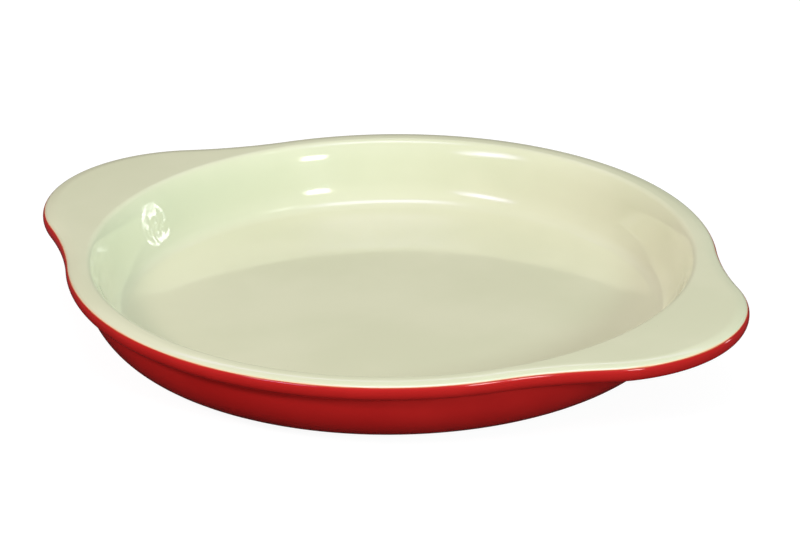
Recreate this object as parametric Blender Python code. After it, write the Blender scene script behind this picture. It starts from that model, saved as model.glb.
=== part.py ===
"""Shallow round cast iron egg dish with two tab handles, cream enamel inside and red outside.

The dish is drawn with one section and one outline. The section runs through the round part of the
dish, from the middle of the well over the rim to the middle of the base. The outline is the rim and
its two handles seen from above. Rings of points carry the section round the dish: at the rim they
keep the shape of the outline, and inside and below it they are circles. The enamel coats lie at the
surface of that form and the iron lies under them, so all three share every curve.
"""

import math
from collections import namedtuple

import bmesh
import bpy
from mathutils import Vector

MM = 0.001

# Outline of the rim and handles, seen from above
RIM_RADIUS = 100.0 * MM
HANDLE_LENGTH = 20.6 * MM
HANDLE_END_RADIUS = 47.5 * MM
HANDLE_FLANK_RADIUS = 120.0 * MM

# Rim and handle plate. The width is that of the rim's top, which falls off over the crown towards the
# edge. The overhang is how far the rim stands out from the wall under it
RIM_WIDTH = 7.1 * MM
RIM_THICKNESS = 6.0 * MM
RIM_OVERHANG = 4.6 * MM
RIM_INNER_ROUND = 0.8 * MM
CROWN_WIDTH = 3.8 * MM
CROWN_SLOPE = math.radians(12.0)
CROWN_ROUND = 10.0 * MM
RIM_TOP_ROUND = 2.2 * MM
RIM_LOWER_ROUND = 3.2 * MM

# Outer side of the wall, from the rim's underside to the base
WALL_DRAFT = math.radians(17.0)
WALL_TOP_FILLET = 1.0 * MM
BASE_CORNER_RADIUS = 22.0 * MM

# Well, measured down from the top of the rim. Under the rim's inner edge a shoulder eases into the
# straight side, which ends in a small corner and a heel that falls gently to the flat floor
WELL_DEPTH = 19.4 * MM
WELL_DRAFT = math.radians(21.0)
SHOULDER_DROP = 1.55 * MM
SHOULDER_DRAFT = math.radians(36.0)
SHOULDER_ROUND = 11.0 * MM
WELL_CORNER_RADIUS = 6.0 * MM
HEEL_WIDTH = 9.4 * MM
HEEL_SLOPE = math.radians(5.7)
HEEL_ROUND = 118.0 * MM

# Base and foot ring. The thickness is that of the base inside the ring
BASE_THICKNESS = 5.1 * MM
FOOT_RING_HEIGHT = 1.5 * MM
FOOT_RING_WIDTH = 7.8 * MM
FOOT_RING_DRAFT = math.radians(20.0)
FOOT_RING_ROUND = 0.9 * MM
RECESS_FILLET = 1.2 * MM

# Enamel coats, the room under them, and how far below the rim's top the two colours part
COAT_THICKNESS = 0.4 * MM
SEAT_GAP = 0.3 * MM
PARTING_DROP = 1.05 * MM

# Limits of a round: the sharpest one under a coat, and the share of a side that its rounds may take
SHARPEST_ROUND = 0.2 * MM
LONGEST_ROUND_SHARE = 0.98

# Faces along the curves
HANDLE_END_STEPS = 5
HANDLE_FLANK_STEPS = 3
RIM_ARC_STEPS = 8
BASE_CORNER_STEPS = 5
WELL_CORNER_STEPS = 4
EDGE_STEPS = 3
FILLET_STEPS = 2
PARTED_ROUND_STEPS = 2
MIDDLE_ONLY = (0.5,)
HEEL_STEPS = 1
SMOOTH_ANGLE = math.radians(35.0)

IRON_COLOUR = (0.036, 0.034, 0.033)
IRON_ROUGHNESS = 0.65
CREAM_COLOUR = (0.672, 0.672, 0.474)
RED_COLOUR = (0.474, 0.010, 0.010)
ENAMEL_ROUGHNESS = 0.12

Arc = namedtuple("Arc", "centre radius start end steps bulge")
Corner = namedtuple("Corner", "radius height round on_outline cream_shares red_shares")
Station = namedtuple("Station", "radius height on_outline coat")


def clear_scene():
    for item in list(bpy.data.objects):
        bpy.data.objects.remove(item, do_unlink=True)


def surface(name, colour, roughness, metallic):
    material = bpy.data.materials.new(name)
    material.use_nodes = True
    material.diffuse_color = (*colour, 1.0)
    shader = material.node_tree.nodes["Principled BSDF"]
    shader.inputs["Base Color"].default_value = (*colour, 1.0)
    shader.inputs["Roughness"].default_value = roughness
    shader.inputs["Metallic"].default_value = metallic
    return material


def iron_surface():
    return surface("cast_iron", IRON_COLOUR, IRON_ROUGHNESS, metallic=1.0)


def enamel_surface(name, colour):
    return surface(name, colour, ENAMEL_ROUGHNESS, metallic=0.0)


def outline_arcs():
    """The arcs of a quarter of the outline, from the tip of a handle to the middle of the rim.

    The handle's end and the rim bulge outwards. The flank between them is hollow and touches both,
    so its centre lies one flank radius outside each of them.
    """
    handle_centre = RIM_RADIUS + HANDLE_LENGTH - HANDLE_END_RADIUS
    to_rim = RIM_RADIUS + HANDLE_FLANK_RADIUS
    to_handle = HANDLE_END_RADIUS + HANDLE_FLANK_RADIUS
    flank_x = (to_rim**2 - to_handle**2 + handle_centre**2) / (2 * handle_centre)
    flank = Vector((flank_x, math.sqrt(to_rim**2 - flank_x**2)))
    rim_angle = math.atan2(flank.y, flank.x)
    handle_angle = math.atan2(flank.y, flank.x - handle_centre)
    handle_end = Arc(
        centre=Vector((handle_centre, 0)),
        radius=HANDLE_END_RADIUS,
        start=0.0,
        end=handle_angle,
        steps=HANDLE_END_STEPS,
        bulge=1,
    )
    handle_flank = Arc(
        centre=flank,
        radius=HANDLE_FLANK_RADIUS,
        start=handle_angle + math.pi,
        end=rim_angle + math.pi,
        steps=HANDLE_FLANK_STEPS,
        bulge=-1,
    )
    rim = Arc(
        centre=Vector((0, 0)),
        radius=RIM_RADIUS,
        start=rim_angle,
        end=math.pi / 2,
        steps=RIM_ARC_STEPS,
        bulge=1,
    )
    return handle_end, handle_flank, rim


def outline(outward):
    """Points of the whole outline, moved outwards by a distance, or inwards where it is negative."""
    quarter = []
    for arc in outline_arcs():
        radius = arc.radius + arc.bulge * outward
        for step in range(arc.steps):
            angle = arc.start + (arc.end - arc.start) * step / arc.steps
            quarter.append(arc.centre + radius * Vector((math.cos(angle), math.sin(angle))))
    rim_middle = Vector((0, RIM_RADIUS + outward))
    mirrored = [Vector((-point.x, point.y)) for point in reversed(quarter[1:])]
    half = [*quarter, rim_middle, *mirrored]
    return half + [-point for point in half]


def circle(radius):
    """Points of a circle, each on the same bearing as its fellow in the outline."""
    return [radius * point.normalized() for point in outline(0.0)]


def even_shares(steps):
    return tuple(step / steps for step in range(steps + 1))


def parted_shares():
    """Shares of the rim's top round for the stations of the cream coat, and for those of the red one.

    The round turns from the slope of the crown to the upright edge. The coats part at the parting
    drop, and the room that touching solids keep lies between them, half on each side.
    """
    turn = math.pi / 2 - CROWN_SLOPE
    round_drop = CROWN_WIDTH * math.tan(CROWN_SLOPE) + RIM_TOP_ROUND * math.tan(turn / 2)
    above_centre = min(max(0.0, round_drop - PARTING_DROP), RIM_TOP_ROUND)
    parting = 1 - math.asin(above_centre / RIM_TOP_ROUND) / turn
    half_gap = SEAT_GAP / RIM_TOP_ROUND / 2 / turn
    even = even_shares(PARTED_ROUND_STEPS)
    cream_end = parting - half_gap
    red_start = parting + half_gap
    return [cream_end * share for share in even], [red_start + (1 - red_start) * share for share in even]


def section_corners():
    """Corners of the section, from the middle of the well over the rim to the middle of the base."""
    floor = FOOT_RING_HEIGHT + BASE_THICKNESS
    rim_top = floor + WELL_DEPTH
    rim_under = rim_top - RIM_THICKNESS
    crown_foot = rim_top - CROWN_WIDTH * math.tan(CROWN_SLOPE)
    wall_top = RIM_RADIUS - RIM_OVERHANG
    wall_foot = wall_top - rim_under * math.tan(WALL_DRAFT)
    well_mouth = RIM_RADIUS - RIM_WIDTH
    shoulder = well_mouth - SHOULDER_DROP * math.tan(SHOULDER_DRAFT)
    lean = math.tan(WELL_DRAFT)
    rise = math.tan(HEEL_SLOPE)
    floor_edge = shoulder - (WELL_DEPTH - SHOULDER_DROP) * lean - HEEL_WIDTH
    heel_run = HEEL_WIDTH / (1 - lean * rise)
    base_turn = math.pi / 2 - WALL_DRAFT
    ring_inside = wall_foot - BASE_CORNER_RADIUS * math.tan(base_turn / 2) - FOOT_RING_WIDTH
    recess_edge = ring_inside - FOOT_RING_HEIGHT * math.tan(FOOT_RING_DRAFT)
    heel = even_shares(HEEL_STEPS)
    well_corner = even_shares(WELL_CORNER_STEPS)
    base_corner = even_shares(BASE_CORNER_STEPS)
    edge = even_shares(EDGE_STEPS)
    fillet = even_shares(FILLET_STEPS)
    return (
        Corner(0.0, floor, 0.0, False, (), ()),
        Corner(floor_edge, floor, HEEL_ROUND, False, heel, ()),
        Corner(floor_edge + heel_run, floor + heel_run * rise, WELL_CORNER_RADIUS, False, well_corner, ()),
        Corner(shoulder, rim_top - SHOULDER_DROP, SHOULDER_ROUND, False, fillet, ()),
        Corner(well_mouth, rim_top, RIM_INNER_ROUND, False, fillet, ()),
        Corner(RIM_RADIUS - CROWN_WIDTH, rim_top, CROWN_ROUND, True, MIDDLE_ONLY, ()),
        Corner(RIM_RADIUS, crown_foot, RIM_TOP_ROUND, True, *parted_shares()),
        Corner(RIM_RADIUS, rim_under, RIM_LOWER_ROUND, True, (), edge),
        Corner(wall_top, rim_under, WALL_TOP_FILLET, False, (), fillet),
        Corner(wall_foot, 0.0, BASE_CORNER_RADIUS, False, (), base_corner),
        Corner(ring_inside, 0.0, FOOT_RING_ROUND, False, (), fillet),
        Corner(recess_edge, FOOT_RING_HEIGHT, RECESS_FILLET, False, (), fillet),
        Corner(0.0, FOOT_RING_HEIGHT, 0.0, False, (), ()),
    )


def place(corner):
    return Vector((corner.radius, corner.height))


def ways(corners):
    """The direction of each side of the section. The air is on the left of the way."""
    return [(place(after) - place(corner)).normalized() for corner, after in zip(corners, corners[1:])]


def left_of(way):
    return Vector((-way.y, way.x))


def turn_at(before, after):
    """How far the way turns, above zero to the left."""
    return math.atan2(before.x * after.y - before.y * after.x, before.dot(after))


def sunk(corners, depth):
    """The corners of the line that lies a depth under the section.

    A hollow round gets wider under the surface, and an outer edge gets sharper.
    """
    sides = ways(corners)
    moved = []
    for corner, before, after in zip(corners, sides[:1] + sides, sides + sides[-1:]):
        shift = depth / (1 + before.dot(after)) * (left_of(before) + left_of(after))
        point = place(corner) - shift
        if turn_at(before, after) < 0:
            radius = max(corner.round - depth, SHARPEST_ROUND)
        else:
            radius = corner.round + depth
        moved.append(corner._replace(radius=max(point.x, 0.0), height=point.y, round=radius))
    return moved


def fitting_rounds(corners):
    """The radius of each inner corner's round, made smaller where its side is too short for it."""
    sides = ways(corners)
    reach = [0.0]
    for corner, before, after in zip(corners[1:-1], sides, sides[1:]):
        reach.append(corner.round * math.tan(abs(turn_at(before, after)) / 2))
    reach.append(0.0)
    room = []
    for index in range(len(sides)):
        length = (place(corners[index + 1]) - place(corners[index])).length
        room.append(min(1.0, LONGEST_ROUND_SHARE * length / (reach[index] + reach[index + 1])))
    return [
        corner.round * min(before, after)
        for corner, before, after in zip(corners[1:-1], room, room[1:])
    ]


def section(depth):
    """Stations along the line that lies a depth under the finished surface, with round corners."""
    corners = sunk(section_corners(), depth)
    sides = ways(corners)
    stations = []
    for corner, radius, before, after in zip(corners[1:-1], fitting_rounds(corners), sides, sides[1:]):
        turn = turn_at(before, after)
        side = math.copysign(1.0, turn)
        start = place(corner) - radius * math.tan(abs(turn) / 2) * before
        centre = start + side * radius * left_of(before)
        heading = math.atan2(before.y, before.x)
        for coat, shares in (("cream", corner.cream_shares), ("red", corner.red_shares)):
            for share in shares:
                angle = heading + share * turn
                point = centre - side * radius * left_of(Vector((math.cos(angle), math.sin(angle))))
                stations.append(Station(point.x, point.y, corner.on_outline, coat))
    return stations


def ring(station):
    if station.on_outline:
        plan = outline(station.radius - RIM_RADIUS)
    else:
        plan = circle(station.radius)
    return [Vector((point.x, point.y, station.height)) for point in plan]


def loft(stations):
    """A closed body through the ring of each station, with a flat face on the first and the last."""
    body = bmesh.new()
    rings = [[body.verts.new(point) for point in ring(station)] for station in stations]
    for near, far in zip(rings, rings[1:]):
        for index in range(len(near)):
            body.faces.new((near[index - 1], near[index], far[index], far[index - 1]))
    body.faces.new(rings[0])
    body.faces.new(rings[-1])
    bmesh.ops.recalc_face_normals(body, faces=body.faces)
    return body


def add_piece(name, body, material):
    mesh = bpy.data.meshes.new(name)
    body.to_mesh(mesh)
    body.free()
    mesh.materials.append(material)
    mesh.shade_smooth()
    mesh.set_sharp_from_angle(angle=SMOOTH_ANGLE)
    piece = bpy.data.objects.new(name, mesh)
    bpy.context.scene.collection.objects.link(piece)
    return piece


def stations_under(coat, depth):
    return [station for station in section(depth) if station.coat == coat]


def iron_casting():
    """Well, wall, rim, handles and foot ring in one piece, as they are poured."""
    return loft(section(COAT_THICKNESS + SEAT_GAP))


def cream_lining():
    """A thin body from the middle of the well out to the parting line, and back on its underside."""
    return loft(stations_under("cream", 0.0) + stations_under("cream", COAT_THICKNESS)[::-1])


def red_outer_coat():
    """A thin body from the middle of the base up to the parting line, and back on its underside."""
    return loft(stations_under("red", 0.0)[::-1] + stations_under("red", COAT_THICKNESS))


def build():
    clear_scene()
    add_piece("iron_casting", iron_casting(), iron_surface())
    add_piece("cream_lining", cream_lining(), enamel_surface("cream_enamel", CREAM_COLOUR))
    add_piece("red_outer_coat", red_outer_coat(), enamel_surface("red_enamel", RED_COLOUR))


build()
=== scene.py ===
"""Cast iron egg dish, dressed for a studio picture.

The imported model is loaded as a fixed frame. Two skins of fired enamel, cream inside and red outside,
take the place of its plain coats, and the casting between them gets its finish. Each skin is drawn
as a line in the upright plane through both handles, turned round the middle of the dish, moved out
to the outline of the rim and handles, and given its thickness.
"""

import math
from collections import namedtuple

import bmesh
import bpy
from bpy.props import FloatProperty, FloatVectorProperty, PointerProperty
from bpy.types import Operator, Panel, PropertyGroup
from mathutils import Matrix, Vector


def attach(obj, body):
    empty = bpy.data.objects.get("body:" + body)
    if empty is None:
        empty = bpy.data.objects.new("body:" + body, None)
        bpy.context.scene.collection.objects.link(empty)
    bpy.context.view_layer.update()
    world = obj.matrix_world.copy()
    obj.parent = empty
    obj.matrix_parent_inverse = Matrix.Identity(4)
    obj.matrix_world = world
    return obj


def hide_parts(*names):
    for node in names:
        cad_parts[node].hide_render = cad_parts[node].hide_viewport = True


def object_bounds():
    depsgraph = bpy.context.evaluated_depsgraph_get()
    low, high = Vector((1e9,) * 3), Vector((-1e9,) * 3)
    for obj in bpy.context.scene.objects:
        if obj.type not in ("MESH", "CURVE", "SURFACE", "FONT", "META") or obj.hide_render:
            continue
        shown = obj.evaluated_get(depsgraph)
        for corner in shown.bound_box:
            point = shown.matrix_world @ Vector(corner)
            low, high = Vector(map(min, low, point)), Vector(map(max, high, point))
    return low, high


bl_info = {
    "name": "Cast Iron Egg Dish",
    "version": (1, 0, 0),
    "blender": (4, 5, 0),
    "location": "View3D > Sidebar > Egg Dish",
    "description": "Dresses a cast iron egg dish with fired enamel and sets up a studio round it",
    "category": "Add Mesh",
}

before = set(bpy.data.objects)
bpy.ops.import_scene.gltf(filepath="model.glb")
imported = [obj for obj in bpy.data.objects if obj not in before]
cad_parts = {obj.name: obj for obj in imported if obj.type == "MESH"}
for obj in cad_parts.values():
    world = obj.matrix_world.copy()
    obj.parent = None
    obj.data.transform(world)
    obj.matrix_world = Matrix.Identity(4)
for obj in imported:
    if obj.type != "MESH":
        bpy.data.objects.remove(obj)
cad_low, cad_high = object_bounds()

MM = 0.001
RIGHT_ANGLE = math.pi / 2
WHITE = (1.0, 1.0, 1.0)

# A corner of a section, with its round and the number of pieces of the side that leads up to it
Corner = namedtuple("Corner", "radius height round pieces", defaults=(1,))

# The look of a glaze. Its scales are in patches for each metre. Its edge, where the two glazes part,
# has a colour of its own, which starts and is full at these distances, and wanders a little
Glaze = namedtuple(
    "Glaze", "cloud_scale wander edge_start edge_full dull_share swell_scale peel_scale peel_depth"
)

# A lamp or a window round the dish, seen from its middle, and the share of a window that fades out.
# The bearing runs from the camera's side to the right, and the rise from the table, in degrees
Spot = namedtuple("Spot", "bearing rise distance width tall soft", defaults=(0.0,))

# Faces of the skins
TURN_STEPS = 360
DEGREES_PER_FACE = 3.75
LEAST_ROUND_FACES = 2
FLOOR_PIECES = 6
FLAT_PIECES = 4
SMOOTH_ANGLE = math.radians(35.0)
MERGE_DISTANCE = 0.002 * MM

# Enamel, with the parts of a noise's range that its clouds and its dull patches fade over
CREAM_GLAZE = Glaze(
    cloud_scale=22.0,
    wander=0.5 * MM,
    edge_start=0.75 * MM,
    edge_full=0.35 * MM,
    dull_share=1.5,
    swell_scale=45.0,
    peel_scale=190.0,
    peel_depth=0.006 * MM,
)
RED_GLAZE = Glaze(
    cloud_scale=26.0,
    wander=0.4 * MM,
    edge_start=0.55 * MM,
    edge_full=0.25 * MM,
    dull_share=1.6,
    swell_scale=50.0,
    peel_scale=210.0,
    peel_depth=0.008 * MM,
)
CLOUD_RANGE = (0.35, 0.65)
DULL_RANGE = (0.3, 0.7)
DULL_SCALE = 60.0
WANDER_SCALE = 90.0
SWELL_DEPTH = 0.03 * MM
ENAMEL_IOR = 1.5

# Runs and specks in the cream enamel. A run is deepest within its core, a share of its reach
RUN_SCALE = 210.0
RUN_DEPTH = 0.5 * MM
RUN_CORE = 0.4
SPECK_SCALE = 200.0
SPECK_EDGE = 0.022
SPECK_CORE = 0.012
SPECK_SHARE = 0.6

# Grain of the iron, and how much lighter its light grains are
GRAIN_SCALE = 900.0
GRAIN_DEPTH = 0.08 * MM
GRAIN_LIGHT = 2.2
GRAIN_ROUGHNESS = (0.55, 0.8)

# The camera, as the picture was taken: it looks down at a point near the middle of the rim's top
CAMERA_LENS = 421.3
CAMERA_SENSOR = 36.0
CAMERA_NEAR = 0.1
CAMERA_FAR = 20.0
CAMERA_BEARING = math.radians(33.85)
CAMERA_PITCH = math.radians(23.02)
CAMERA_ROLL = math.radians(-0.48)
CAMERA_DISTANCE = 2.8605
LOOK_POINT = (2.55 * MM, -9.80 * MM)

# Lamps that light the dish, and windows that its enamel mirrors
OVERHEAD_LAMP = Spot(bearing=0.0, rise=88.0, distance=1.6, width=0.9, tall=0.9)
RIGHT_LAMP = Spot(bearing=31.0, rise=24.0, distance=2.0, width=0.4, tall=0.3)
LEFT_LAMP = Spot(bearing=-41.0, rise=37.0, distance=2.0, width=0.7, tall=0.3)
FILL_LAMP = Spot(bearing=45.0, rise=8.0, distance=2.0, width=0.8, tall=0.4)
OVERHEAD_WINDOW = Spot(bearing=8.0, rise=77.0, distance=1.6, width=1.5, tall=1.0, soft=0.75)
RIGHT_WINDOW = Spot(bearing=32.3, rise=31.0, distance=2.0, width=0.41, tall=0.36, soft=0.5)
LEFT_WINDOW = Spot(bearing=-42.8, rise=37.0, distance=2.0, width=1.15, tall=0.38, soft=1.0)
EDGE_WINDOW = Spot(bearing=60.0, rise=58.0, distance=2.0, width=0.9, tall=0.8, soft=0.8)
BACK_WINDOW = Spot(bearing=180.0, rise=43.5, distance=2.0, width=1.6, tall=0.22, soft=0.8)
SIDE_WINDOW = Spot(bearing=109.0, rise=9.5, distance=2.0, width=0.28, tall=0.40, soft=0.7)

# The dark room and cloth that the enamel mirrors. The room brightens between two heights, and the
# cloth between two distances from the middle, up from a share of the room's glow near the dish: a
# painted shadow of the dish on the cloth
ROOM_RADIUS = 4.0
ROOM_SEGMENTS = 96
ROOM_BRIGHTENS = (0.35 * ROOM_RADIUS, 0.75 * ROOM_RADIUS)
CLOTH_RADIUS = 0.9 * ROOM_RADIUS
CLOTH_DROP = 0.5 * MM
CLOTH_BRIGHTENS = (0.09, 0.20)
CLOTH_PAINTED_SHADOW = 0.15

# The floor: what it throws back on the dish, and its own glow and the light on it that the camera sees
FLOOR_SIDE = 12.0
FLOOR_DROP = 1.0 * MM
FLOOR_GREY = 0.3
FLOOR_ROUGHNESS = 0.9
FLOOR_GLOW = 0.93
FLOOR_SEEN_GREY = 0.15


def length(name, description, default):
    return FloatProperty(
        name=name, description=description, default=default, min=0.0, precision=4, unit="LENGTH"
    )


def angle(name, description, degrees):
    default = math.radians(degrees)
    return FloatProperty(name=name, description=description, default=default, subtype="ANGLE")


def colour(name, description, default):
    return FloatVectorProperty(
        name=name, description=description, default=default, size=3, min=0.0, max=1.0, subtype="COLOR"
    )


def amount(name, description, default):
    return FloatProperty(name=name, description=description, default=default, min=0.0)


class DishSizes(PropertyGroup):
    rim_radius: length("Rim Radius", "Radius of the round rim", cad_high.y)
    handle_length: length("Handle Length", "Reach of a handle past the rim", cad_high.x - cad_high.y)
    handle_end_radius: length("Handle End", "Radius of a handle's end, seen from above", 47.5 * MM)
    handle_flank_radius: length("Handle Flank", "Radius of the hollow side of a handle", 120.0 * MM)
    rim_top: length("Height", "Height of the rim's top over the ground", cad_high.z)
    rim_width: length("Rim Width", "Width of the rim's top, from its edge to the well", 7.1 * MM)
    rim_thickness: length("Rim Thickness", "Thickness of the rim and the handles", 6.0 * MM)
    rim_overhang: length("Rim Overhang", "How far the rim stands out from the wall", 4.6 * MM)
    rim_inner_round: length("Inner Edge Round", "Round of the rim's inner edge", 2.4 * MM)
    crown_width: length("Crown Width", "Width of the slope along the rim's edge", 3.8 * MM)
    crown_slope: angle("Crown Slope", "Slope along the rim's edge", 12.0)
    crown_round: length("Crown Round", "Round between the rim's flat and that slope", 10.0 * MM)
    rim_top_round: length("Top Edge Round", "Round of the rim's outer edge, above", 2.2 * MM)
    rim_lower_round: length("Lower Edge Round", "Round of the rim's outer edge, below", 3.2 * MM)
    wall_draft: angle("Wall Draft", "Lean of the wall's outer side", 17.0)
    wall_top_fillet: length("Wall Top Fillet", "Fillet from the wall to the rim's underside", 1.0 * MM)
    base_corner_radius: length("Base Corner", "Round between the wall and the foot ring", 22.0 * MM)
    well_depth: length("Well Depth", "Depth of the floor under the rim's top", 19.4 * MM)
    well_draft: angle("Well Draft", "Lean of the well's side", 20.0)
    shoulder_drop: length("Shoulder Drop", "Depth of the shoulder under the rim's top", 3.6 * MM)
    shoulder_draft: angle("Shoulder Draft", "Lean of the shoulder", 34.0)
    shoulder_round: length("Shoulder Round", "Round from the shoulder to the well's side", 20.0 * MM)
    foot_slope: angle("Foot Slope", "Lean of the foot of the well's side", 36.0)
    foot_rise: length("Foot Rise", "Height of the foot of the well's side", 4.4 * MM)
    foot_round: length("Foot Round", "Round between the well's side and its foot", 20.0 * MM)
    well_corner_radius: length("Well Corner", "Round between that foot and the heel", 5.5 * MM)
    heel_width: length("Heel Width", "Width of the heel, the slope round the floor", 9.4 * MM)
    heel_slope: angle("Heel Slope", "Slope of the heel", 5.7)
    heel_round: length("Heel Round", "Round between the floor and the heel", 80.0 * MM)
    foot_ring_height: length("Foot Ring Height", "Height of the foot ring", 1.5 * MM)
    foot_ring_width: length("Foot Ring Width", "Width of the foot ring", 7.8 * MM)
    foot_ring_draft: angle("Foot Ring Draft", "Lean of the foot ring's inner side", 20.0)
    foot_ring_round: length("Foot Ring Round", "Round of the foot ring's inner edge", 0.9 * MM)
    recess_fillet: length("Recess Fillet", "Fillet between the foot ring and the recess", 1.2 * MM)
    coat_thickness: length("Enamel Thickness", "Thickness of the enamel", 0.4 * MM)
    parting_drop: length("Parting Drop", "Depth of the parting of the colours", 1.05 * MM)


class DishFinish(PropertyGroup):
    cream: colour("Cream", "Enamel of the well, the rim and the handles", (0.692, 0.690, 0.500))
    cream_shade: colour("Cream Shade", "Cream where it was laid thicker", (0.658, 0.662, 0.470))
    fringe: colour("Fringe", "Edge of the cream where it runs into the red", (0.800, 0.560, 0.370))
    speck: colour("Speck", "Pinholes and specks in the cream enamel", (0.180, 0.150, 0.100))
    red: colour("Red", "Enamel of the wall, the base and the undersides", (0.525, 0.0160, 0.0145))
    red_shade: colour("Red Shade", "Red where it was laid thicker", (0.470, 0.0130, 0.0120))
    red_thin: colour("Thin Red", "Red where it thins out at the cream", (0.600, 0.190, 0.080))
    iron: colour("Iron", "Cast iron", (0.036, 0.034, 0.033))
    enamel_roughness: amount("Enamel Roughness", "Roughness of fired enamel", 0.06)
    run_place: FloatVectorProperty(
        name="Run Place",
        description="Place on the well's side where the cream enamel ran a little",
        default=(-86.6 * MM, -1.0 * MM, 16.2 * MM),
        size=3,
        subtype="XYZ",
        unit="LENGTH",
    )
    run_radius: length("Run Radius", "Reach of the uneven enamel round that place", 7.5 * MM)


class DishStudio(PropertyGroup):
    sky: amount("Sky", "Soft light from all round", 0.50)
    overhead: amount("Overhead Lamp", "Power of the lamp overhead, in watts", 6.4)
    right_lamp: amount("Right Lamp", "Power of the front lamp on the right, in watts", 16.3)
    left_lamp: amount("Left Lamp", "Power of the front lamp on the left, in watts", 14.8)
    right_tint: colour("Right Tint", "Tint of the front lamp on the right", (0.79, 1.0, 1.0))
    left_tint: colour("Left Tint", "Tint of the front lamp on the left", (1.0, 0.83, 0.83))
    fill_lamp: amount("Fill Lamp", "Power of the low lamp on the right, in watts", 5.9)
    fill_tint: colour("Fill Tint", "Tint of the low lamp", (0.60, 1.0, 1.0))
    right_window: amount("Right Window", "Glow of the front window on the right", 18.0)
    left_window: amount("Left Window", "Glow of the front window on the left", 14.0)
    overhead_window: amount("Overhead Window", "Glow of the window overhead", 7.5)
    back_window: amount("Back Window", "Glow of the window at the back", 3.2)
    edge_window: amount("Edge Window", "Glow of the high window on the right", 5.0)
    side_window: amount("Side Window", "Glow of the low window on the right", 9.0)
    window_tint: colour("Window Tint", "Tint of the left, overhead and back windows", (0.66, 0.60, 1.0))
    surround: amount("Surround", "Glow of the dark room at table height", 0.08)
    ceiling: amount("Ceiling", "Glow of the dark room's ceiling", 0.5)


def even(steps):
    """Shares of a way that is cut into equal steps, each up to the end of its step."""
    return [step / steps for step in range(1, steps + 1)]


def corner_place(corner):
    return Vector((corner.radius, 0.0, corner.height))


def turn_between(before, after):
    """How far the way turns in the upright plane, above zero towards the left."""
    return math.atan2(before.x * after.z - before.z * after.x, before.dot(after))


def left_of(way):
    return Vector((-way.z, 0.0, way.x))


def round_reach(radius, turn):
    """How far a round reaches along the two sides of its corner."""
    return radius * math.tan(abs(turn) / 2)


def draw_side(profile, tip, target, pieces):
    """Draws a straight side from the tip to the target, in so many pieces, and returns the new tip."""
    start = tip.co.copy()
    for share in even(pieces):
        tip = bmesh.ops.extrude_vert_indiv(profile, verts=[tip])["verts"][0]
        tip.co = start.lerp(target, share)
    return tip


def draw_round(profile, tip, before, radius, turn, share):
    """Draws a share of a round that touches the way before it, and returns the new tip."""
    centre = tip.co + math.copysign(radius, turn) * left_of(before)
    faces = math.ceil(math.degrees(abs(turn)) * share / DEGREES_PER_FACE)
    made = bmesh.ops.spin(
        profile,
        geom=[tip],
        cent=centre,
        axis=(0.0, -1.0, 0.0),
        angle=turn * share,
        steps=max(LEAST_ROUND_FACES, faces),
        use_merge=False,
        use_duplicate=False,
    )
    return made["geom_last"][0]


def draw_section(corners, last_share):
    """A line through the corners with their rounds, of which only a share of the last is drawn.

    The first corner is the start of the line, and the last one is only aimed at.
    """
    profile = bmesh.new()
    tip = profile.verts.new(corner_place(corners[0]))
    for last, corner, after in zip(corners, corners[1:], corners[2:]):
        before_way = (corner_place(corner) - corner_place(last)).normalized()
        after_way = (corner_place(after) - corner_place(corner)).normalized()
        turn = turn_between(before_way, after_way)
        side_end = corner_place(corner) - round_reach(corner.round, turn) * before_way
        tip = draw_side(profile, tip, side_end, corner.pieces)
        share = last_share if after is corners[-1] else 1.0
        tip = draw_round(profile, tip, before_way, corner.round, turn, share)
    return profile


def mark_parting(profile):
    """Notes on each point of the line how far it lies from the line's end, where the colours part."""
    layer = profile.verts.layers.float.new("from_parting")
    profile.verts.ensure_lookup_table()
    tip = next(vert for vert in reversed(profile.verts) if len(vert.link_edges) == 1)
    way_back = 0.0
    edge = tip.link_edges[0]
    while edge is not None:
        way_back += edge.calc_length()
        tip = edge.other_vert(tip)
        tip[layer] = way_back
        edge = next((other for other in tip.link_edges if other is not edge), None)


def turn_round(profile):
    """Turns the line all the way round the middle of the dish, and closes it at the middle."""
    bmesh.ops.spin(
        profile,
        geom=[*profile.verts, *profile.edges],
        cent=(0.0, 0.0, 0.0),
        axis=(0.0, 0.0, 1.0),
        angle=math.tau,
        steps=TURN_STEPS,
        use_merge=True,
        use_duplicate=False,
    )
    bmesh.ops.remove_doubles(profile, verts=profile.verts, dist=MERGE_DISTANCE)


def outline_radius(sizes, bearing, outward):
    """Distance from the middle to the outline of the rim and handles, moved outwards, on a bearing.

    The rim and a handle's end bulge outwards. The flank between them is hollow and touches both, so
    its centre lies one flank radius beyond each of them.
    """
    way = Vector((abs(math.cos(bearing)), abs(math.sin(bearing))))
    handle = Vector((sizes.rim_radius + sizes.handle_length - sizes.handle_end_radius, 0.0))
    to_rim = sizes.rim_radius + sizes.handle_flank_radius
    to_handle = sizes.handle_end_radius + sizes.handle_flank_radius
    flank_x = (to_rim**2 - to_handle**2 + handle.x**2) / (2 * handle.x)
    flank = Vector((flank_x, math.sqrt(to_rim**2 - flank_x**2)))
    end_radius = sizes.handle_end_radius + outward
    join = handle + end_radius * (flank - handle).normalized()
    if way.x * flank.y <= way.y * flank.x:
        return sizes.rim_radius + outward
    if way.x * join.y >= way.y * join.x:
        return handle.x * way.x + math.sqrt(end_radius**2 - (handle.x * way.y) ** 2)
    along = flank.dot(way)
    flank_radius = sizes.handle_flank_radius - outward
    return along - math.sqrt(flank_radius**2 - (flank.length_squared - along**2))


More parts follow.
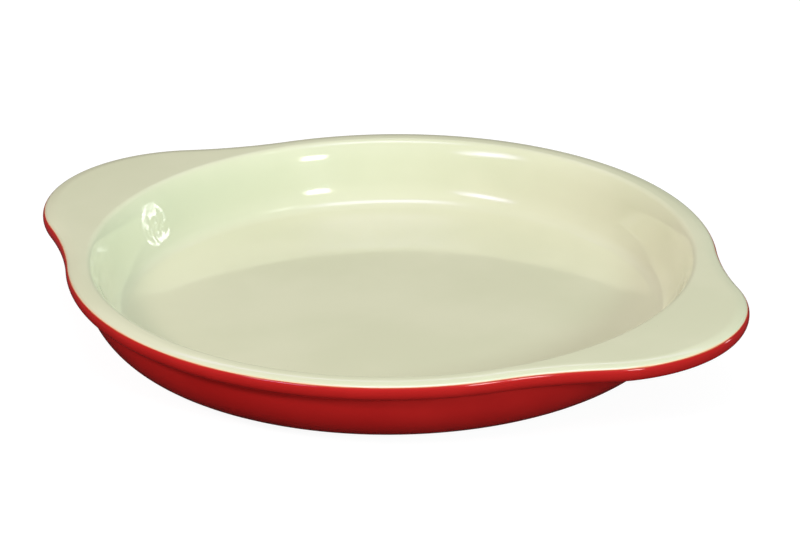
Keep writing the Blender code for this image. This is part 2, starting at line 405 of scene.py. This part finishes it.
def move_to_outline(body, sizes, flat_start, flat_end):
    """Moves what lies past a flat's end out to the outline, and shares that move out over the flat."""
    for vert in body.verts:
        radius = vert.co.xy.length
        if radius <= flat_start + MERGE_DISTANCE:
            continue
        bearing = math.atan2(vert.co.y, vert.co.x)
        edge = outline_radius(sizes, bearing, max(radius, flat_end) - sizes.rim_radius)
        share = min(1.0, (radius - flat_start) / (flat_end - flat_start))
        target = flat_start + share * (edge - flat_start)
        vert.co.x *= target / radius
        vert.co.y *= target / radius


def face_air(body, upwards):
    """Points every face to the open air, going by a face at the middle of the dish."""
    bmesh.ops.recalc_face_normals(body, faces=body.faces)
    middle = min(body.faces, key=lambda face: face.calc_center_median().xy.length)
    if (middle.normal.z > 0) != upwards:
        bmesh.ops.reverse_faces(body, faces=body.faces)


def enamel_skin(sizes, corners, last_share, flat, upwards):
    """A closed skin of enamel, as thick as it was laid on, along a line of corners."""
    body = draw_section(corners, last_share)
    mark_parting(body)
    turn_round(body)
    move_to_outline(body, sizes, *flat)
    face_air(body, upwards)
    bmesh.ops.solidify(body, geom=body.faces, thickness=sizes.coat_thickness)
    return body


def crown_drop(sizes):
    """How far the crown's slope falls by the rim's outer edge."""
    return sizes.crown_width * math.tan(sizes.crown_slope)


def parting_share(sizes):
    """Share of the rim's top round that the cream covers. The round starts at the crown's slope."""
    turn = RIGHT_ANGLE - sizes.crown_slope
    centre_drop = crown_drop(sizes) + round_reach(sizes.rim_top_round, turn)
    return 1 - math.asin((centre_drop - sizes.parting_drop) / sizes.rim_top_round) / turn


def top_flat(sizes):
    """Where the flat on the rim's top starts and ends, as distances from the middle."""
    mouth = sizes.rim_radius - sizes.rim_width
    start = mouth + round_reach(sizes.rim_inner_round, RIGHT_ANGLE - sizes.shoulder_draft)
    end = sizes.rim_radius - sizes.crown_width - round_reach(sizes.crown_round, sizes.crown_slope)
    return start, end


def under_flat(sizes):
    """Where the flat under the rim starts and ends, as distances from the middle."""
    wall_top = sizes.rim_radius - sizes.rim_overhang
    start = wall_top + round_reach(sizes.wall_top_fillet, RIGHT_ANGLE - sizes.wall_draft)
    return start, sizes.rim_radius - sizes.rim_lower_round


def well_corners(sizes):
    """Corners of the cream enamel's line, from the middle of the floor over the rim.

    The foot leans more than the well's side, and its top lies on that side, so the heel is shorter
    than it would be if the side came down to it.
    """
    floor = sizes.rim_top - sizes.well_depth
    mouth = sizes.rim_radius - sizes.rim_width
    shoulder = mouth - sizes.shoulder_drop * math.tan(sizes.shoulder_draft)
    lean = math.tan(sizes.well_draft)
    foot_lean = math.tan(sizes.foot_slope)
    heel_lean = math.tan(sizes.heel_slope)
    floor_edge = shoulder - (sizes.well_depth - sizes.shoulder_drop) * lean - sizes.heel_width
    heel_run = (sizes.heel_width - sizes.foot_rise * (foot_lean - lean)) / (1 - lean * heel_lean)
    foot_radius = floor_edge + heel_run
    foot_height = floor + heel_run * heel_lean
    side_radius = foot_radius + sizes.foot_rise * foot_lean
    return [
        Corner(0.0, floor, 0.0),
        Corner(floor_edge, floor, sizes.heel_round, FLOOR_PIECES),
        Corner(foot_radius, foot_height, sizes.well_corner_radius),
        Corner(side_radius, foot_height + sizes.foot_rise, sizes.foot_round),
        Corner(shoulder, sizes.rim_top - sizes.shoulder_drop, sizes.shoulder_round),
        Corner(mouth, sizes.rim_top, sizes.rim_inner_round),
        Corner(sizes.rim_radius - sizes.crown_width, sizes.rim_top, sizes.crown_round, FLAT_PIECES),
        Corner(sizes.rim_radius, sizes.rim_top - crown_drop(sizes), sizes.rim_top_round),
        Corner(sizes.rim_radius, 0.0, 0.0),
    ]


def base_corners(sizes):
    """Corners of the red enamel's line, from the middle of the base up the wall and the rim's edge."""
    rim_under = sizes.rim_top - sizes.rim_thickness
    wall_top = sizes.rim_radius - sizes.rim_overhang
    wall_foot = wall_top - rim_under * math.tan(sizes.wall_draft)
    base_reach = round_reach(sizes.base_corner_radius, RIGHT_ANGLE - sizes.wall_draft)
    ring_inside = wall_foot - base_reach - sizes.foot_ring_width
    recess_edge = ring_inside - sizes.foot_ring_height * math.tan(sizes.foot_ring_draft)
    return [
        Corner(0.0, sizes.foot_ring_height, 0.0),
        Corner(recess_edge, sizes.foot_ring_height, sizes.recess_fillet, FLOOR_PIECES),
        Corner(ring_inside, 0.0, sizes.foot_ring_round),
        Corner(wall_foot, 0.0, sizes.base_corner_radius),
        Corner(wall_top, rim_under, sizes.wall_top_fillet),
        Corner(sizes.rim_radius, rim_under, sizes.rim_lower_round, FLAT_PIECES),
        Corner(sizes.rim_radius, sizes.rim_top - crown_drop(sizes), sizes.rim_top_round),
        Corner(sizes.rim_radius - sizes.crown_width, sizes.rim_top, 0.0),
    ]


def link_new(name, data):
    thing = bpy.data.objects.new(name, data)
    bpy.context.scene.collection.objects.link(thing)
    return thing


def link_body(name, body, material):
    """A new object with one material, from a body that is finished."""
    mesh = bpy.data.meshes.new(name)
    body.to_mesh(mesh)
    body.free()
    mesh.materials.append(material)
    return link_new(name, mesh)


def add_piece(name, body, material, node):
    """A piece of the dish, in the place of one of the model's nodes."""
    piece = link_body(name, body, material)
    piece.data.shade_smooth()
    piece.data.set_sharp_from_angle(angle=SMOOTH_ANGLE)
    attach(piece, "root")
    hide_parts(node)


def new_material(name):
    material = bpy.data.materials.new(name)
    material.use_nodes = True
    return material, material.node_tree, material.node_tree.nodes["Principled BSDF"]


def add_node(tree, kind, values=None, **settings):
    """A new node, with its settings and the values of its inputs."""
    node = tree.nodes.new(kind)
    for name, value in settings.items():
        setattr(node, name, value)
    for name, value in (values or {}).items():
        node.inputs[name].default_value = value
    return node


def object_place(tree):
    return add_node(tree, "ShaderNodeTexCoord").outputs["Object"]


def cloudiness(tree, place, scale, detail=3.0, roughness=0.5):
    """Soft noise over the object, from 0 to 1. The scale is in patches for each metre."""
    values = {"Scale": scale, "Detail": detail, "Roughness": roughness}
    noise = add_node(tree, "ShaderNodeTexNoise", values)
    tree.links.new(place, noise.inputs["Vector"])
    return noise.outputs["Fac"]


def ramp(tree, source, start, end, low=0.0, high=1.0):
    """The source's values from start to end, spread smoothly from low to high."""
    spread = add_node(
        tree,
        "ShaderNodeMapRange",
        {"From Min": start, "From Max": end, "To Min": low, "To Max": high},
        interpolation_type="SMOOTHSTEP",
    )
    tree.links.new(source, spread.inputs["Value"])
    return spread.outputs["Result"]


def mixed(tree, factor, first, second):
    """Two colours mixed by a factor. Either one is a colour or another node's output."""
    mix = add_node(tree, "ShaderNodeMix", data_type="RGBA")
    tree.links.new(factor, mix.inputs["Factor"])
    for name, source in (("A", first), ("B", second)):
        socket = next(entry for entry in mix.inputs if entry.name == name and entry.type == "RGBA")
        if isinstance(source, bpy.types.NodeSocket):
            tree.links.new(source, socket)
        else:
            socket.default_value = (*source, 1.0)
    return next(entry for entry in mix.outputs if entry.type == "RGBA")


def combined(tree, operation, first, second=0.0):
    """A sum, product or the like of values. Either one is a number or another node's output."""
    maths = add_node(tree, "ShaderNodeMath", operation=operation)
    for socket, source in zip(maths.inputs, (first, second)):
        if isinstance(source, bpy.types.NodeSocket):
            tree.links.new(source, socket)
        else:
            socket.default_value = source
    return maths.outputs["Value"]


def glaze_tone(tree, place, glaze, tone, shade, edge_tone):
    """The enamel's colour: shaded where it was laid thicker, and another close to the parting line."""
    laid = cloudiness(tree, place, glaze.cloud_scale)
    clouded = mixed(tree, ramp(tree, laid, *CLOUD_RANGE), tone, shade)
    parting = add_node(tree, "ShaderNodeAttribute", attribute_name="from_parting")
    wander = combined(tree, "MULTIPLY", cloudiness(tree, place, WANDER_SCALE), glaze.wander)
    distance = combined(tree, "ADD", parting.outputs["Fac"], wander)
    at_edge = ramp(tree, distance, glaze.edge_start, glaze.edge_full)
    return mixed(tree, at_edge, clouded, edge_tone)


def glaze_relief(tree, place, glaze):
    """Heights of the enamel's slow swells and its fine peel, each with its depth in metres."""
    swell = cloudiness(tree, place, glaze.swell_scale, detail=0.0)
    peel = cloudiness(tree, place, glaze.peel_scale, detail=1.0)
    return [(swell, SWELL_DEPTH), (peel, glaze.peel_depth)]


def run_ripples(tree, place, centre, radius):
    """Heights of the ripples round one place, where the enamel ran before it was fired."""
    away = add_node(tree, "ShaderNodeVectorMath", {1: centre}, operation="DISTANCE")
    tree.links.new(place, away.inputs[0])
    inside = ramp(tree, away.outputs["Value"], radius, RUN_CORE * radius)
    return combined(tree, "MULTIPLY", inside, cloudiness(tree, place, RUN_SCALE, detail=1.0))


def specks(tree, place):
    """Fine specks strewn over the object: more than zero inside a speck, and zero elsewhere."""
    cells = add_node(tree, "ShaderNodeTexVoronoi", {"Scale": SPECK_SCALE})
    tree.links.new(place, cells.inputs["Vector"])
    return ramp(tree, cells.outputs["Distance"], SPECK_EDGE, SPECK_CORE, 0.0, SPECK_SHARE)


def set_gloss(tree, shader, place, roughness, dull_share):
    """Makes the shader as glossy as fired enamel, with duller patches."""
    dull = cloudiness(tree, place, DULL_SCALE)
    varied = ramp(tree, dull, *DULL_RANGE, roughness, roughness * dull_share)
    tree.links.new(varied, shader.inputs["Roughness"])
    shader.inputs["IOR"].default_value = ENAMEL_IOR


def set_relief(tree, shader, heights):
    """Bumps the surface by several heights, each with its depth in metres."""
    normal = None
    for height, depth in heights:
        bump = add_node(tree, "ShaderNodeBump", {"Strength": 1.0, "Distance": depth})
        tree.links.new(height, bump.inputs["Height"])
        if normal is not None:
            tree.links.new(normal, bump.inputs["Normal"])
        normal = bump.outputs["Normal"]
    tree.links.new(normal, shader.inputs["Normal"])


def cream_enamel(finish):
    material, tree, shader = new_material("cream_enamel_glaze")
    place = object_place(tree)
    tone = glaze_tone(tree, place, CREAM_GLAZE, finish.cream, finish.cream_shade, finish.fringe)
    tone = mixed(tree, specks(tree, place), tone, finish.speck)
    tree.links.new(tone, shader.inputs["Base Color"])
    set_gloss(tree, shader, place, finish.enamel_roughness, CREAM_GLAZE.dull_share)
    ripples = run_ripples(tree, place, finish.run_place, finish.run_radius)
    set_relief(tree, shader, [*glaze_relief(tree, place, CREAM_GLAZE), (ripples, RUN_DEPTH)])
    return material


def red_enamel(finish):
    material, tree, shader = new_material("red_enamel_glaze")
    place = object_place(tree)
    tone = glaze_tone(tree, place, RED_GLAZE, finish.red, finish.red_shade, finish.red_thin)
    tree.links.new(tone, shader.inputs["Base Color"])
    set_gloss(tree, shader, place, finish.enamel_roughness, RED_GLAZE.dull_share)
    set_relief(tree, shader, glaze_relief(tree, place, RED_GLAZE))
    return material


def cast_iron(finish):
    material, tree, shader = new_material("raw_cast_iron")
    grain = cloudiness(tree, object_place(tree), GRAIN_SCALE, detail=6.0, roughness=0.65)
    light = [GRAIN_LIGHT * value for value in finish.iron]
    tree.links.new(mixed(tree, grain, finish.iron, light), shader.inputs["Base Color"])
    shader.inputs["Metallic"].default_value = 1.0
    roughness = ramp(tree, grain, *DULL_RANGE, *GRAIN_ROUGHNESS)
    tree.links.new(roughness, shader.inputs["Roughness"])
    set_relief(tree, shader, [(grain, GRAIN_DEPTH)])
    return material


def to_dish(vector):
    """Turns a vector from the camera's bearing, with +Y away from the camera, to the dish's own."""
    return Matrix.Rotation(CAMERA_BEARING, 3, "Z") @ Vector(vector)


def aim(thing, place, forward, up):
    """Puts a camera, a lamp or a window at a place. It looks along its own -Z, with +Y up."""
    right = forward.cross(up).normalized()
    level = right.cross(forward).normalized()
    rotation = Matrix((right, level, -forward)).transposed()
    thing.matrix_world = Matrix.Translation(place) @ rotation.to_4x4()


def aim_at_dish(thing, spot):
    """Puts a lamp or a window at its spot, turned to the middle of the dish."""
    turn = math.radians(spot.bearing)
    rise = math.radians(spot.rise)
    level = math.cos(rise)
    way = to_dish((math.sin(turn) * level, -math.cos(turn) * level, math.sin(rise)))
    sideways = to_dish((math.cos(turn), math.sin(turn), 0.0))
    aim(thing, spot.distance * way, -way, way.cross(sideways))


def add_camera(sizes):
    lens = bpy.data.cameras.new("picture_camera")
    lens.lens = CAMERA_LENS
    lens.sensor_width = CAMERA_SENSOR
    lens.clip_start = CAMERA_NEAR
    lens.clip_end = CAMERA_FAR
    camera = link_new("picture_camera", lens)
    forward = Vector((0.0, math.cos(CAMERA_PITCH), -math.sin(CAMERA_PITCH)))
    level_up = Vector((0.0, math.sin(CAMERA_PITCH), math.cos(CAMERA_PITCH)))
    up = math.cos(CAMERA_ROLL) * level_up - math.sin(CAMERA_ROLL) * Vector((1.0, 0.0, 0.0))
    eye = Vector((*LOOK_POINT, 0.0)) - CAMERA_DISTANCE * forward
    place = to_dish(eye) + Vector((0.0, 0.0, sizes.rim_top))
    aim(camera, place, to_dish(forward), to_dish(up))
    bpy.context.scene.camera = camera


def add_lamp(name, spot, power, tint):
    """A soft lamp that lights the dish. The enamel mirrors the windows, and not the lamps."""
    light = bpy.data.lights.new(name, "AREA")
    light.shape = "RECTANGLE"
    light.size = spot.width
    light.size_y = spot.tall
    light.energy = power
    light.color = tint
    lamp = link_new(name, light)
    lamp.visible_camera = False
    lamp.visible_glossy = False
    aim_at_dish(lamp, spot)


def seen_or_lighting(tree, seen, lighting):
    """One shader for what is seen, straight, mirrored or through glass, and another for its light."""
    path = add_node(tree, "ShaderNodeLightPath")
    straight = combined(tree, "MAXIMUM", path.outputs["Is Camera Ray"], path.outputs["Is Glossy Ray"])
    is_seen = combined(tree, "MAXIMUM", straight, path.outputs["Is Transmission Ray"])
    mix = add_node(tree, "ShaderNodeMixShader")
    tree.links.new(is_seen, mix.inputs["Fac"])
    tree.links.new(lighting, mix.inputs[1])
    tree.links.new(seen, mix.inputs[2])
    return mix.outputs["Shader"]


def white_world(studio):
    """A sky that is white where it is seen, and that lights the dish softly."""
    world = bpy.data.worlds.new("white_studio")
    world.use_nodes = True
    tree = world.node_tree
    tree.nodes.clear()
    white = add_node(tree, "ShaderNodeBackground", {"Color": (*WHITE, 1.0), "Strength": 1.0})
    soft = add_node(tree, "ShaderNodeBackground", {"Color": (*WHITE, 1.0), "Strength": studio.sky})
    both = seen_or_lighting(tree, white.outputs["Background"], soft.outputs["Background"])
    output = add_node(tree, "ShaderNodeOutputWorld")
    tree.links.new(both, output.inputs["Surface"])
    bpy.context.scene.world = world


def floor_material():
    """White with a faint shadow where it is seen, and grey as it throws light back on the dish."""
    material, tree, shader = new_material("white_floor")
    shader.inputs["Base Color"].default_value = (FLOOR_GREY, FLOOR_GREY, FLOOR_GREY, 1.0)
    shader.inputs["Roughness"].default_value = FLOOR_ROUGHNESS
    shader.inputs["Specular IOR Level"].default_value = 0.0
    glow = add_node(tree, "ShaderNodeEmission", {"Color": (*WHITE, 1.0), "Strength": FLOOR_GLOW})
    seen_grey = (FLOOR_SEEN_GREY, FLOOR_SEEN_GREY, FLOOR_SEEN_GREY, 1.0)
    lit = add_node(tree, "ShaderNodeBsdfDiffuse", {"Color": seen_grey})
    seen = add_node(tree, "ShaderNodeAddShader")
    tree.links.new(lit.outputs["BSDF"], seen.inputs[0])
    tree.links.new(glow.outputs["Emission"], seen.inputs[1])
    both = seen_or_lighting(tree, seen.outputs["Shader"], shader.outputs["BSDF"])
    tree.links.new(both, tree.nodes["Material Output"].inputs["Surface"])
    return material


def new_glow(name, tint):
    """A new material that only glows, with its tree and its glow."""
    material, tree, shader = new_material(name)
    tree.nodes.remove(shader)
    glow = add_node(tree, "ShaderNodeEmission", {"Color": (*tint, 1.0)})
    tree.links.new(glow.outputs["Emission"], tree.nodes["Material Output"].inputs["Surface"])
    return material, tree, glow


def part_of(tree, place, axis):
    split = add_node(tree, "ShaderNodeSeparateXYZ")
    tree.links.new(place, split.inputs["Vector"])
    return split.outputs[axis]


def height_of(tree, place):
    return part_of(tree, place, "Z")


def distance_of(tree, place):
    measure = add_node(tree, "ShaderNodeVectorMath", operation="LENGTH")
    tree.links.new(place, measure.inputs[0])
    return measure.outputs["Value"]


def measured_glow(name, measure, span, low, high):
    """Glows from low, where the measure is at the span's start, to high, where it is at its end."""
    material, tree, glow = new_glow(name, WHITE)
    brightness = ramp(tree, measure(tree, object_place(tree)), *span, low, high)
    tree.links.new(brightness, glow.inputs["Strength"])
    return material


def window_glow(name, spot, brightness, tint):
    """Glows evenly, and fades out along a window's edges, over a share of its width and height."""
    material, tree, glow = new_glow(name, tint)
    place = object_place(tree)
    fades = []
    for axis, side in (("X", spot.width), ("Y", spot.tall)):
        from_middle = combined(tree, "ABSOLUTE", part_of(tree, place, axis))
        fades.append(ramp(tree, from_middle, side / 2, (1.0 - spot.soft) * side / 2))
    fade = combined(tree, "MULTIPLY", *fades)
    tree.links.new(combined(tree, "MULTIPLY", fade, brightness), glow.inputs["Strength"])
    return material


def add_card(name, body, material):
    """A card that only the gloss of the enamel shows, and that throws no light or shade."""
    card = link_body(name, body, material)
    card.visible_camera = False
    card.visible_diffuse = False
    card.visible_shadow = False
    card.visible_transmission = False
    return card


def flat_sheet(width, tall, drop=0.0):
    """A flat rectangle round the middle of the dish, so far under the ground.

    It starts as a square with sides of one metre: a grid's size is half its side.
    """
    body = bmesh.new()
    bmesh.ops.create_grid(body, x_segments=1, y_segments=1, size=0.5)
    bmesh.ops.scale(body, verts=body.verts, vec=(width, tall, 1.0))
    bmesh.ops.translate(body, verts=body.verts, vec=(0.0, 0.0, -drop))
    return body


def add_window(name, spot, brightness, tint):
    """A bright window with soft edges that only the gloss of the enamel shows."""
    card = add_card(name, flat_sheet(spot.width, spot.tall), window_glow(name, spot, brightness, tint))
    aim_at_dish(card, spot)


def add_surround(studio):
    """A round dark room and a dark cloth on the table, as the enamel mirrors them, with the dish's
    shadow painted on the cloth.
    """
    room = bmesh.new()
    bmesh.ops.create_uvsphere(
        room, u_segments=ROOM_SEGMENTS, v_segments=ROOM_SEGMENTS // 2, radius=ROOM_RADIUS
    )
    bmesh.ops.reverse_faces(room, faces=room.faces)
    glow = measured_glow("room_glow", height_of, ROOM_BRIGHTENS, studio.surround, studio.ceiling)
    add_card("dark_room", room, glow)
    cloth = bmesh.new()
    bmesh.ops.create_circle(cloth, cap_ends=True, segments=ROOM_SEGMENTS, radius=CLOTH_RADIUS)
    bmesh.ops.translate(cloth, verts=cloth.verts, vec=(0.0, 0.0, -CLOTH_DROP))
    # Painted shadow: the cloth glows less near the dish, as if the dish shaded it
    shade = CLOTH_PAINTED_SHADOW * studio.surround
    glow = measured_glow("cloth_glow", distance_of, CLOTH_BRIGHTENS, shade, studio.surround)
    add_card("dark_cloth", cloth, glow)


def add_floor():
    body = flat_sheet(FLOOR_SIDE, FLOOR_SIDE, FLOOR_DROP)
    floor = link_body("studio_floor", body, floor_material())


class EGGDISH_OT_cream_glaze(Operator):
    """Makes the cream enamel of the well, the rim and the handles' tops"""

    bl_idname = "eggdish.cream_glaze"
    bl_label = "Cream Glaze"

    def execute(self, context):
        sizes = context.scene.egg_dish_sizes
        share = parting_share(sizes)
        body = enamel_skin(sizes, well_corners(sizes), share, top_flat(sizes), upwards=True)
        material = cream_enamel(context.scene.egg_dish_finish)
        add_piece("cream_glaze", body, material, "cream_lining")
        return {"FINISHED"}


class EGGDISH_OT_red_glaze(Operator):
    """Makes the red enamel of the base, the wall and the undersides of the rim and handles"""

    bl_idname = "eggdish.red_glaze"
    bl_label = "Red Glaze"

    def execute(self, context):
        sizes = context.scene.egg_dish_sizes
        share = 1.0 - parting_share(sizes)
        body = enamel_skin(sizes, base_corners(sizes), share, under_flat(sizes), upwards=False)
        material = red_enamel(context.scene.egg_dish_finish)
        add_piece("red_glaze", body, material, "red_outer_coat")
        return {"FINISHED"}


class EGGDISH_OT_iron_finish(Operator):
    """Gives the casting under the enamel its cast iron finish"""

    bl_idname = "eggdish.iron_finish"
    bl_label = "Iron Finish"

    def execute(self, context):
        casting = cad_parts["iron_casting"]
        casting.data.materials.clear()
        casting.data.materials.append(cast_iron(context.scene.egg_dish_finish))
        return {"FINISHED"}


class EGGDISH_OT_stage(Operator):
    """Sets up the camera, the white floor, the lamps and what the enamel mirrors"""

    bl_idname = "eggdish.stage"
    bl_label = "Studio Stage"

    def execute(self, context):
        scene = context.scene
        studio = scene.egg_dish_studio
        tint = studio.window_tint
        scene.view_settings.view_transform = "Standard"
        add_camera(scene.egg_dish_sizes)
        add_floor()
        white_world(studio)
        add_surround(studio)
        add_lamp("overhead_lamp", OVERHEAD_LAMP, studio.overhead, WHITE)
        add_lamp("right_lamp", RIGHT_LAMP, studio.right_lamp, studio.right_tint)
        add_lamp("left_lamp", LEFT_LAMP, studio.left_lamp, studio.left_tint)
        add_lamp("fill_lamp", FILL_LAMP, studio.fill_lamp, studio.fill_tint)
        add_window("overhead_window", OVERHEAD_WINDOW, studio.overhead_window, tint)
        add_window("right_window", RIGHT_WINDOW, studio.right_window, WHITE)
        add_window("left_window", LEFT_WINDOW, studio.left_window, tint)
        add_window("edge_window", EDGE_WINDOW, studio.edge_window, WHITE)
        add_window("back_window", BACK_WINDOW, studio.back_window, tint)
        add_window("side_window", SIDE_WINDOW, studio.side_window, WHITE)
        return {"FINISHED"}


class EGGDISH_PT_sidebar(Panel):
    """Lists the steps that dress the dish, and its sizes, its finishes and its studio"""

    bl_idname = "EGGDISH_PT_sidebar"
    bl_label = "Egg Dish"
    bl_space_type = "VIEW_3D"
    bl_region_type = "UI"
    bl_category = "Egg Dish"

    def draw(self, context):
        scene = context.scene
        for step in STEPS:
            self.layout.operator(step.bl_idname)
        for group in (scene.egg_dish_sizes, scene.egg_dish_finish, scene.egg_dish_studio):
            column = self.layout.column(align=True)
            for name in group.bl_rna.properties.keys():
                if name not in {"rna_type", "name"}:
                    column.prop(group, name)


STEPS = (
    EGGDISH_OT_cream_glaze,
    EGGDISH_OT_red_glaze,
    EGGDISH_OT_iron_finish,
    EGGDISH_OT_stage,
)
CLASSES = (DishSizes, DishFinish, DishStudio, *STEPS, EGGDISH_PT_sidebar)


def register():
    for entry in CLASSES:
        bpy.utils.register_class(entry)
    bpy.types.Scene.egg_dish_sizes = PointerProperty(type=DishSizes)
    bpy.types.Scene.egg_dish_finish = PointerProperty(type=DishFinish)
    bpy.types.Scene.egg_dish_studio = PointerProperty(type=DishStudio)


def unregister():
    del bpy.types.Scene.egg_dish_studio
    del bpy.types.Scene.egg_dish_finish
    del bpy.types.Scene.egg_dish_sizes
    for entry in reversed(CLASSES):
        bpy.utils.unregister_class(entry)


def main():
    register()
    bpy.ops.eggdish.cream_glaze()
    bpy.ops.eggdish.red_glaze()
    bpy.ops.eggdish.iron_finish()
    bpy.ops.eggdish.stage()


if __name__ == "__main__":
    main()
